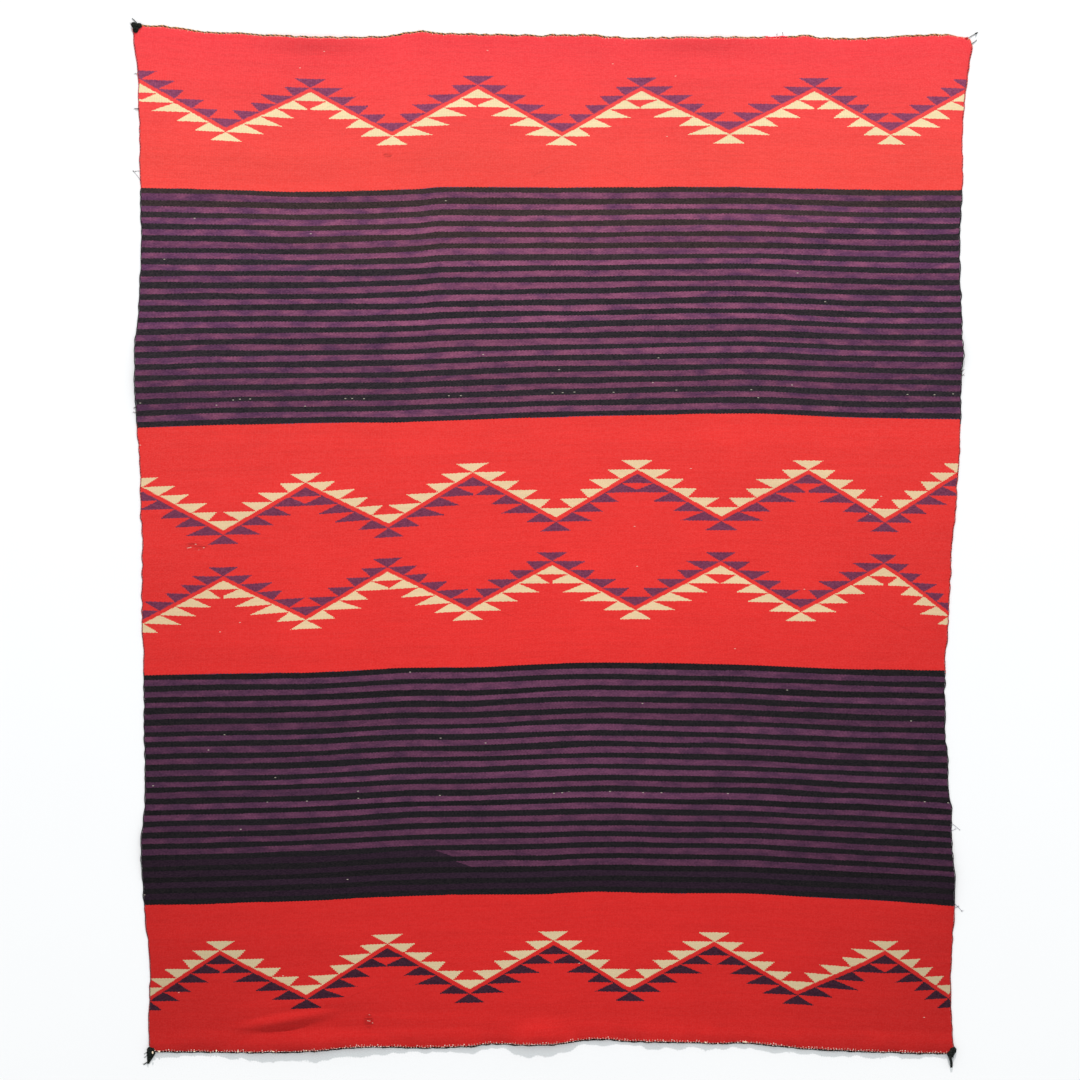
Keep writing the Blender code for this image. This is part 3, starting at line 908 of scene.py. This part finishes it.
# Sets small bows of warp along a line, across it and upright, with their ends up and none quite
# like the next.
def makeLoopTree():
    tree, source, sink = newModifierTree("warpLoops", {
        "Spacing": "Float", "Radius": "Float", "Thickness": "Float", "Seed": "Int",
        "Material": "Material",
    })
    past = 0.3  # how far a bow runs on past half a turn at each end, in radians
    bow = geometryNode(tree, "CurveArc", {
        "Resolution": 7, "Radius": source["Radius"], "Start Angle": -past,
        "Sweep Angle": math.pi + 2.0 * past,
    }, mode="RADIUS")
    ring = geometryNode(
        tree, "CurvePrimitiveCircle", {"Resolution": 6, "Radius": source["Thickness"]}
    )
    loop = geometryNode(tree, "CurveToMesh", {
        "Curve": bow, "Profile Curve": ring, "Scale": 1.0, "Fill Caps": True,
    })
    tangent = geometryNode(tree, "InputTangent")
    side = vectorCalc(tree, "CROSS_PRODUCT", tangent, (0.0, 0.0, 1.0))
    upright = geometryNode(
        tree, "FunctionNodeAxesToRotation", {"Primary Axis": tangent, "Secondary Axis": side},
        primary_axis="Z", secondary_axis="X",
    )

    def chance(low, high, number):
        return geometryNode(tree, "FunctionNodeRandomValue", {
            "Min": low, "Max": high, "Seed": Signal(source["Seed"]) + number,
        }, data_type="FLOAT_VECTOR").outputs["Value"]

    lean = geometryNode(tree, "FunctionNodeEulerToRotation", {
        "Euler": chance((-0.3, -0.6, -0.25), (0.3, 0.6, 0.25), 0),
    })
    turned = geometryNode(
        tree, "FunctionNodeRotateRotation", {"Rotation": upright, "Rotate By": lean},
        rotation_space="LOCAL",
    )
    many = geometryNode(tree, "InstanceOnPoints", {
        "Points": evenLines(tree, source, source["Spacing"]), "Instance": loop,
        "Rotation": turned, "Scale": chance((0.5, 0.5, 0.6), (1.3, 1.4, 1.5), 1),
    })
    tint = parted(chance((0.0, 0.0, 0.0), (1.0, 0.0, 0.0), 2))[0]
    finishTree(tree, kept(tree, many, "tint", tint, "INSTANCE"), source, sink)
    return tree


# Runs a tree over lines and hands back what it makes as a plain mesh. A line is a list of
# (point, thickness) pairs.
def growMesh(name, lines, tree, values):
    mesh = bpy.data.meshes.new(name)
    points, links, thickness = [], [], []
    for line in lines:
        links += [(len(points) + k, len(points) + k + 1) for k in range(len(line) - 1)]
        points += [point for point, _ in line]
        thickness += [size for _, size in line]
    mesh.from_pydata(points, links, [])
    mesh.attributes.new("thickness", "FLOAT", "POINT").data.foreach_set("value", thickness)
    item = addPiece(name, mesh)
    modifier = item.modifiers.new(tree.name, "NODES")
    modifier.node_group = tree
    for socket in tree.interface.items_tree:
        if socket.in_out == "INPUT" and socket.name in values:
            modifier[socket.identifier] = values[socket.name]
    depsgraph = bpy.context.evaluated_depsgraph_get()
    grown = bpy.data.meshes.new_from_object(item.evaluated_get(depsgraph))
    bpy.data.objects.remove(item)
    bpy.data.meshes.remove(mesh)
    grown.name = name
    return grown


def growYarn(name, lines, kind, material):
    settings = dict(zip(yarnInputs, yarnKinds[kind]))
    return growMesh(name, lines, yarnTree, {**settings, "Material": material})


# Puts several meshes into one, each with its own materials.
def merged(name, meshes):
    bm = bmesh.new()
    materials = []
    for mesh in meshes:
        start = len(bm.faces)
        bm.from_mesh(mesh)
        bm.faces.ensure_lookup_table()
        slots = []
        for material in mesh.materials:
            if material not in materials:
                materials.append(material)
            slots.append(materials.index(material))
        for face in bm.faces[start:]:
            face.material_index = slots[min(face.material_index, len(slots) - 1)]
    whole = bpy.data.meshes.new(name)
    bm.to_mesh(whole)
    bm.free()
    for material in materials:
        whole.materials.append(material)
    whole.shade_smooth()
    return whole


cords = {
    "endRadius": 0.0014,
    "sideRadius": 0.0009,
    "gap": 0.0002,
    "knotShare": 0.75,  # of a knot's radius, where a cord goes into it
    "points": 420,  # along each edge
    "loopSpacing": 0.0046,
    "loopRadius": {"top": 0.0011, "bottom": 0.0015},
    "loopThickness": {"top": 0.00050, "bottom": 0.00085},
    "uneven": 0.35,  # how much their thickness varies
    "worn": (0.3509, 0.3883),  # where the top cord is worn away, along x
    "faded": (0.650, 0.672),  # where it fades and thins towards its right end
    "besideStripes": ((0.198, 0.588), (-0.603, -0.216)),  # where side cords run dark, along y
}

Loose = namedtuple("Loose", "across down leanDeg curlDeg reachMm radiusMm")

# Yarn ends worked out of the edges: where each leaves, which way it goes and how it curls
looseEnds = (
    Loose(0.774, 0.000, 60, 50, 9, 0.45), Loose(0.769, 0.000, 120, -30, 6, 0.40),
    Loose(0.000, 0.0465, 190, -40, 5, 0.50), Loose(0.000, 0.0808, 168, 10, 7, 0.90),
    Loose(0.000, 0.1415, 160, 40, 9, 0.30), Loose(0.000, 0.1520, 118, 18, 23, 0.28),
    Loose(0.000, 0.3720, 175, 30, 5, 0.70), Loose(0.000, 0.3770, 185, -20, 5, 0.60),
    Loose(1.000, 0.3234, 15, 40, 6, 0.80), Loose(1.000, 0.3262, -20, 40, 5, 0.60),
    Loose(1.000, 0.7716, -35, -8, 19, 0.30), Loose(1.000, 0.7790, -10, 50, 8, 0.28),
    Loose(1.000, 0.8511, -42, -8, 20, 0.32), Loose(1.000, 0.8562, 6, 20, 8, 0.35),
)

# Pale stitches that stand out along the bottom cord: how far in from the cloth's edge and how
# far up each lies, and its size along and across the cord
Stitch = namedtuple("Stitch", "across insetMm raisedMm alongMm acrossMm")

stitches = (
    Stitch(0.0046, -2.3, 7.4, 2.8, 4.8), Stitch(0.0122, -0.8, 3.4, 3.2, 3.0),
    Stitch(0.0555, -0.4, 3.2, 2.6, 2.0), Stitch(0.0825, 0.6, 3.2, 2.4, 4.0),
    Stitch(0.1095, 0.4, 3.2, 3.0, 2.0), Stitch(0.1245, 0.0, 3.2, 2.0, 2.0),
    Stitch(0.1530, 0.4, 3.2, 3.4, 1.8), Stitch(0.1945, 0.6, 3.2, 2.2, 2.4),
    Stitch(0.6907, 0.2, 3.2, 2.8, 2.6), Stitch(0.7400, 0.8, 3.2, 8.3, 1.8),
)


# The line that a cord follows beside one edge of the cloth, clear of the knots at its ends.
def cordLine(edge, radius):
    steps = cords["points"]
    shares = [k / steps for k in range(steps + 1)]
    far = 1.0 if edge in ("bottom", "right") else 0.0
    if edge in ("top", "bottom"):
        points = [place(share, far) for share in shares]
    else:
        points = [place(far, share) for share in shares]
    middle = place(0.5, 0.5)
    line = []
    for k, point in enumerate(points):
        run = points[min(k + 1, steps)] - points[max(k - 1, 0)]
        side = Vector((run.y, -run.x)).normalized()
        if side.dot(point - middle) < 0.0:
            side.negate()
        swell = noise.noise(Vector((shares[k] * 160.0, radius * 9000.0, 3.3)))
        size = radius * (1.0 + cords["uneven"] * swell)
        if edge == "top":
            low, high = cords["faded"]
            size *= 1.0 - 0.5 * min(max((point.x - low) / (high - low), 0.0), 1.0)
        spot = point + side * (size + cords["gap"] * min(size / radius, 1.0))
        away = min((spot - knotMiddle(knot)).length / (knot.radiusMm * mm) for knot in knots)
        if away > cords["knotShare"]:
            line.append((Vector((spot.x, spot.y, lift(spot) + max(radius, size))), size))
    return line


# Worn is a stretch of x where red weft covers the yarn, and faded one over which it turns orange.
# Banded holds stretches of y where the yarn is dark; the same yarn gets painted light, brighter
# up the cloth and darker down it.
def yarnMaterial(name, first, second, patchScale, plyShare=0.4, worn=None, faded=None, banded=()):
    material, tree, shader = newMaterial(name, 0.85, 0.02)
    ply = parted(attribute(tree, "ply"))[0]
    along = parted(attribute(tree, "along"))[0]
    spot = tree.nodes.new("ShaderNodeTexCoord").outputs["Object"]
    patches = cloudy(spot, patchScale, 2.0)
    fibres = cloudy(spot, 1400.0, 2.0)
    colour = blend((patches * 0.7 + ply * plyShare).fade(0.3, 0.8), first, second)
    if worn:
        colour = blend(parted(spot)[0].between(*worn), colour, dyes["redTop"])
    if faded:
        colour = blend(parted(spot)[0].fade(*faded), colour, dye(226, 104, 62))
    if banded:
        # painted light: the side cords brighter towards the top of the cloth and darker towards
        # the bottom
        colour = shaded(colour, parted(spot)[1].fade(-0.9, 0.9, 0.60, 1.35))
    for low, high in banded:
        colour = blend(parted(spot)[1].between(low, high), colour, dye(36, 27, 34))
    colour = shaded(colour, fibres.fade(0.2, 0.8, 0.75, 1.25))
    feed(shader.inputs["Base Color"], colour)
    bumped(tree, shader, fibres + (along * 2600.0).sine() * 0.15, 0.0003)
    arrange(tree)
    return material


def loopMaterial(name, pale, dull):
    material, tree, shader = newMaterial(name, 0.85, 0.02)
    tint = parted(attribute(tree, "tint"))[0]
    fibres = cloudy(tree.nodes.new("ShaderNodeTexCoord").outputs["Object"], 1800.0, 2.0)
    colour = shaded(blend(tint, pale, dull), fibres.fade(0.2, 0.8, 0.85, 1.15))
    feed(shader.inputs["Base Color"], colour)
    bumped(tree, shader, fibres, 0.0002)
    arrange(tree)
    return material


# Moves a point of a round knot, given from the knot's middle, out to the knot's own shape.
def pulled(knot, x, y):
    pull = pulls[knot.name]
    angle = math.atan2(y, x) - math.radians(pull.turnDeg)
    factor = 1.0 + pull.swell * math.cos(pull.corners * angle)
    middle = knotMiddle(knot)
    return middle.x + x * factor, middle.y + y * factor


# How high a knot stands over the surface.
def knotHeight(knot):
    return 0.9 * knot.heightMm * mm


# A knot's yarn: wound round and round, each turn a little further about, over a solid heart.
def windKnot(knot, yarnRadius):
    height = knotHeight(knot)
    wide = knot.radiusMm * mm - yarnRadius
    tall = height / 2 - yarnRadius
    line = []
    turns = 7
    steps = turns * 22
    for k in range(steps + 1):
        share = k / steps
        angle = math.tau * turns * share
        about = math.pi * (share * 2.3 + 0.2)
        tilt = math.radians(62.0 + 20.0 * math.sin(share * 9.0))
        x = math.cos(angle)
        y = math.sin(angle) * math.cos(tilt)
        z = math.sin(angle) * math.sin(tilt)
        spotX, spotY = pulled(
            knot,
            wide * (x * math.cos(about) - y * math.sin(about)),
            wide * (x * math.sin(about) + y * math.cos(about)),
        )
        line.append((Vector((spotX, spotY, height / 2 + tall * z)), yarnRadius))
    return line


def knotHeart(knot, yarnRadius, material):
    height = knotHeight(knot)
    bm = bmesh.new()
    radius = knot.radiusMm * mm - yarnRadius * 1.2
    bmesh.ops.create_icosphere(bm, subdivisions=3, radius=radius)
    for vert in bm.verts:
        rough = 1.0 + 0.06 * noise.noise(vert.co.normalized() * 2.5)
        tall = vert.co.normalized().z * (height / 2 - yarnRadius * 1.1) * rough
        vert.co = (*pulled(knot, vert.co.x * rough, vert.co.y * rough), height / 2 + tall)
    mesh = bpy.data.meshes.new("knotHeart")
    bm.to_mesh(mesh)
    bm.free()
    mesh.materials.append(material)
    return mesh


# A knot's loose ends: each starts at a place counted from the knot's middle
Strand = namedtuple("Strand", "fromXMm fromYMm leanDeg curlDeg reachMm rootMm tipMm")

strands = {
    "corner_tassel_top_left": (
        Strand(1.8, 6.0, 132.0, 6.0, 12.0, 0.60, 0.60),
        Strand(-4.5, 3.8, 143.0, 5.0, 4.5, 1.3, 0.5),
        Strand(4.5, 2.5, 18.0, -8.0, 6.0, 1.5, 0.8),
        Strand(-1.0, -5.0, 262.0, 6.0, 6.0, 1.6, 0.7),
    ),
    "corner_tassel_top_right": (
        Strand(3.0, 0.8, 33.0, -4.0, 15.5, 0.50, 0.50),
        Strand(14.6, 7.6, 34.0, -8.0, 3.2, 1.20, 1.20),
        Strand(7.8, -9.1, 28.0, 12.0, 10.0, 0.75, 0.40),
    ),
    "corner_tassel_bottom_left": (
        Strand(-5.0, -18.0, 214.0, -12.0, 8.5, 1.2, 0.3),
        Strand(-4.6, -17.0, 228.0, -16.0, 9.0, 1.0, 0.3),
        Strand(-5.0, -1.0, 205.0, 20.0, 7.0, 0.5, 0.3),
        Strand(-5.0, -6.0, 215.0, 10.0, 7.0, 0.5, 0.3),
    ),
    "corner_tassel_bottom_right": (
        Strand(-4.2, -6.0, 296.0, -32.0, 19.5, 2.7, 2.3),
        Strand(1.5, -5.5, 292.0, -14.0, 4.5, 1.3, 0.6),
    ),
}

# The thick tuft at the bottom left: yarn ends side by side that draw together to a point
tuft = {
    "knot": "corner_tassel_bottom_left",
    "count": 12,
    "fromXMm": (-6.0, 6.2),
    "fromYMm": -3.0,
    "pointXMm": (-6.2, -4.4),
    "pointYMm": -21.5,
    "rootMm": 1.8,
    "tipMm": 0.55,
}


def tuftStrands():
    made = []
    (startLeft, startRight), (pointLeft, pointRight) = tuft["fromXMm"], tuft["pointXMm"]
    for k in range(tuft["count"]):
        share = k / (tuft["count"] - 1)
        startX = startLeft + (startRight - startLeft) * share
        pointX = pointLeft + (pointRight - pointLeft) * share
        run, fall = pointX - startX, tuft["pointYMm"] - tuft["fromYMm"]
        reach = math.hypot(run, fall) * (1.0, 0.88, 0.95)[k % 3]
        lean = math.degrees(math.atan2(fall, run)) % 360.0
        made.append(Strand(
            startX, tuft["fromYMm"], lean + 3.0, -6.0, reach, tuft["rootMm"], tuft["tipMm"]
        ))
    return made


# A curling line over the surface. It starts at a height and settles within a third of its way.
def strayLine(start, leanDeg, curlDeg, reach, root, tip, height=0.0, steps=24):
    spot = Vector(start)
    line = []
    for k in range(steps + 1):
        share = k / steps
        radius = root + (tip - root) * share
        settled = max(0.0, 1.0 - share * 3.0) ** 2
        line.append((Vector((spot.x, spot.y, radius + height * settled)), radius))
        heading = math.radians(leanDeg + curlDeg * share)
        spot = spot + Vector((math.cos(heading), math.sin(heading))) * (reach / steps)
    return line


# Fine fibres that fan out of a yarn's end.
def frayedEnd(line, count, reach, radius, seed):
    (before, _), (end, _) = line[-3], line[-1]
    heading = math.degrees(math.atan2(end.y - before.y, end.x - before.x))
    fibres = []
    for k in range(count):
        wander = noise.noise(Vector((k * 3.7, seed * 1.9, 0.5)))
        bend = noise.noise(Vector((k * 2.3, seed * 4.1, 8.5)))
        fan = (k / max(count - 1, 1) - 0.5) * 55.0
        fibres.append(strayLine(
            (before.x, before.y), heading + fan + wander * 25.0, bend * 90.0,
            reach * (0.8 + 0.5 * wander), radius, radius * 0.4,
            height=max(before.z - radius, 0.0), steps=10,
        ))
    return fibres


def makeKnot(name, knot, number, body, yarn):
    yarnRadius = min(1.25, knot.radiusMm * 0.3) * mm
    ends, fibres = [], []
    middle = knotMiddle(knot)
    own = [*strands[knot.name], *(tuftStrands() if knot.name == tuft["knot"] else ())]
    for k, strand in enumerate(own):
        start = middle + Vector((strand.fromXMm, strand.fromYMm)) * mm
        line = strayLine(
            start, strand.leanDeg, strand.curlDeg, strand.reachMm * mm,
            strand.rootMm * mm, strand.tipMm * mm, height=knot.heightMm * mm * 0.35,
        )
        ends.append(line)
        fibres += frayedEnd(line, 4, 0.003, 0.00018, number * 10 + k)
    mesh = merged(name, [
        growYarn(name + "Wraps", [windKnot(knot, yarnRadius)], "knotYarn", body),
        knotHeart(knot, yarnRadius, body),
        growYarn(name + "Ends", ends, "knotYarn", yarn),
        growYarn(name + "Fibres", fibres, "fibre", yarn),
    ])
    return addPiece(name, mesh)


def makeLooseEnds(name, chosen, material):
    lines, fibres = [], []
    for k, loose in enumerate(chosen):
        start = place(loose.across, loose.down)
        line = strayLine(
            start, loose.leanDeg, loose.curlDeg, loose.reachMm * mm, loose.radiusMm * mm,
            loose.radiusMm * mm * 0.7, height=cut["thickness"] * 0.6 + lift(start),
        )
        lines.append(line)
        fibres += frayedEnd(line, 3, 0.004, 0.00016, k + 50)
    mesh = merged(name, [
        growYarn(name + "Yarn", lines, "looseYarn", material),
        growYarn(name + "Fibres", fibres, "fibre", material),
    ])
    return addPiece(name, mesh)


def makeStitches(material):
    bm = bmesh.new()
    for stitch in stitches:
        spot = place(stitch.across, 1.0) + Vector((0.0, stitch.insetMm * mm))
        made = bmesh.ops.create_icosphere(bm, subdivisions=2, radius=0.5 * mm)
        for vert in made["verts"]:
            x, y, z = vert.co
            vert.co = (
                spot.x + x * stitch.alongMm, spot.y + y * stitch.acrossMm,
                lift(spot) + stitch.raisedMm * mm + z * 1.6,
            )
    mesh = bpy.data.meshes.new("paleStitches")
    bm.to_mesh(mesh)
    bm.free()
    mesh.materials.append(material)
    mesh.shade_smooth()
    return addPiece("paleStitches", mesh)


studio = {
    "cameraAt": (-0.0235, 0.0051, 4.243),
    "lens": 85.0,
    "keyAt": (0.0, 12.0, 5.9),
    "keySize": 0.45,
    "keyPower": 1290.0,
    "keyColour": (1.0, 0.94, 0.925),
    "skyStrength": 0.735,
    "skyColour": (0.955, 1.0, 1.01),
    "floorSize": 40.0,
    "floorLevel": -0.0003,  # just clear of the cloth's underside
}


def makeStage():
    camera = bpy.data.cameras.new("camera")
    camera.lens = studio["lens"]
    camera.sensor_width = 36.0
    seat = addPiece("camera", camera)
    seat.location = studio["cameraAt"]
    bpy.context.scene.camera = seat

    key = bpy.data.lights.new("windowLight", "AREA")
    key.shape = "DISK"
    key.size = studio["keySize"]
    key.energy = studio["keyPower"] / sum(studio["keyColour"]) * 3.0
    key.color = studio["keyColour"]
    lamp = addPiece("windowLight", key)
    lamp.location = studio["keyAt"]
    lamp.rotation_euler = (-lamp.location).to_track_quat("-Z", "Y").to_euler()

    world = bpy.data.worlds.new("paleRoom")
    world.use_nodes = True
    sky = world.node_tree.nodes["Background"]
    sky.inputs["Color"].default_value = (*studio["skyColour"], 1.0)
    sky.inputs["Strength"].default_value = studio["skyStrength"]
    bpy.context.scene.world = world
    bpy.context.scene.view_settings.view_transform = "Standard"

    half = studio["floorSize"] / 2
    mesh = bpy.data.meshes.new("floor")
    corners = [(x * half, y * half, 0.0) for x, y in ((-1, -1), (1, -1), (1, 1), (-1, 1))]
    mesh.from_pydata(corners, [], [(0, 1, 2, 3)])
    material, tree, shader = newMaterial("paleFloor", 0.9, 0.0)
    grain = cloudy(tree.nodes.new("ShaderNodeTexCoord").outputs["Object"], 3.0, 2.0)
    paper = blend(grain, (0.955, 0.955, 0.965, 1.0), (0.975, 0.975, 0.98, 1.0))
    feed(shader.inputs["Base Color"], paper)
    arrange(tree)
    mesh.materials.append(material)
    floor = addPiece("floor", mesh)
    floor.location.z = studio["floorLevel"]


makeStage()
print("stage set")

tapestry = makeTapestry()
cloth = makeCloth(tapestry)
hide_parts("web")
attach(cloth, "root")
print("cloth woven:", len(cloth.data.polygons), "faces")

yarnTree = makeYarnTree()
loopTree = makeLoopTree()
darkCord = yarnMaterial("darkCordWool", dye(24, 15, 13), dye(66, 34, 28), 60.0, 0.2)
oliveCord = yarnMaterial(
    "oliveCordWool", dye(50, 38, 18), dye(216, 158, 98), 60.0, 0.42,
    worn=cords["worn"], faded=cords["faded"],
)
sideWool = yarnMaterial("looseDarkWool", dye(28, 25, 28), dye(112, 46, 60), 70.0)
leftCord = yarnMaterial(
    "leftCordWool", dye(62, 30, 38), dye(226, 90, 92), 45.0, banded=cords["besideStripes"]
)
rightCord = yarnMaterial(
    "rightCordWool", dye(96, 28, 28), dye(232, 72, 62), 45.0, banded=cords["besideStripes"]
)
knotWool = yarnMaterial("knotWool", dye(24, 27, 25), dye(42, 46, 42), 90.0)
redKnotWool = yarnMaterial("redKnotWool", dye(150, 40, 42), dye(226, 66, 66), 90.0)
blueWool = yarnMaterial("looseBlueWool", dye(40, 36, 60), dye(92, 70, 110), 90.0)
warpWool = loopMaterial("creamWarp", dye(250, 232, 200), dye(214, 160, 116))
hemWarpWool = loopMaterial("hemWarp", dye(255, 236, 224), dye(214, 140, 124))

pieces = []
for name, node, edge, radius, kind, wool in (
    ("endCordTop", "end_cord_top", "top", cords["endRadius"], "endCord", oliveCord),
    ("endCordBottom", "end_cord_bottom", "bottom", cords["endRadius"], "endCord", darkCord),
    ("sideCordLeft", "side_cord_left", "left", cords["sideRadius"], "sideCord", leftCord),
    ("sideCordRight", "side_cord_right", "right", cords["sideRadius"], "sideCord", rightCord),
):
    piece = addPiece(name, growYarn(name, [cordLine(edge, radius)], kind, wool))
    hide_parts(node)
    pieces.append(piece)
print("cords twined")

for name, edge, seed, inset, wool in (
    ("warpLoopsTop", "top", 11, 0.0002, warpWool),
    ("warpLoopsBottom", "bottom", 23, 0.0011, hemWarpWool),
):
    line = [
        (Vector((spot.x, spot.y, lift(spot.xy) + cut["thickness"])), size)
        for spot, size in cordLine(edge, -cords["gap"] - inset)
    ]
    mesh = growMesh(name, [line], loopTree, {
        "Spacing": cords["loopSpacing"], "Radius": cords["loopRadius"][edge],
        "Thickness": cords["loopThickness"][edge], "Seed": seed, "Material": wool,
    })
    piece = addPiece(name, mesh)
    pieces.append(piece)
stitched = makeStitches(warpWool)
pieces.append(stitched)
print("warp loops set")

for number, (name, knot) in enumerate(zip(
    ("knotTopLeft", "knotTopRight", "knotBottomLeft", "knotBottomRight"), knots
)):
    body = redKnotWool if name == "knotTopRight" else knotWool
    piece = makeKnot(name, knot, number, body, knotWool)
    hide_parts(knot.name)
    pieces.append(piece)
darkEnds = makeLooseEnds("looseEndsDark", looseEnds[:10], sideWool)
blueEnds = makeLooseEnds("looseEndsBlue", looseEnds[10:], blueWool)
for piece in (darkEnds, blueEnds):
    pieces.append(piece)
print("knots tied")

for piece in pieces:
    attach(piece, "root")
    print(piece.name, len(piece.data.polygons), "faces")
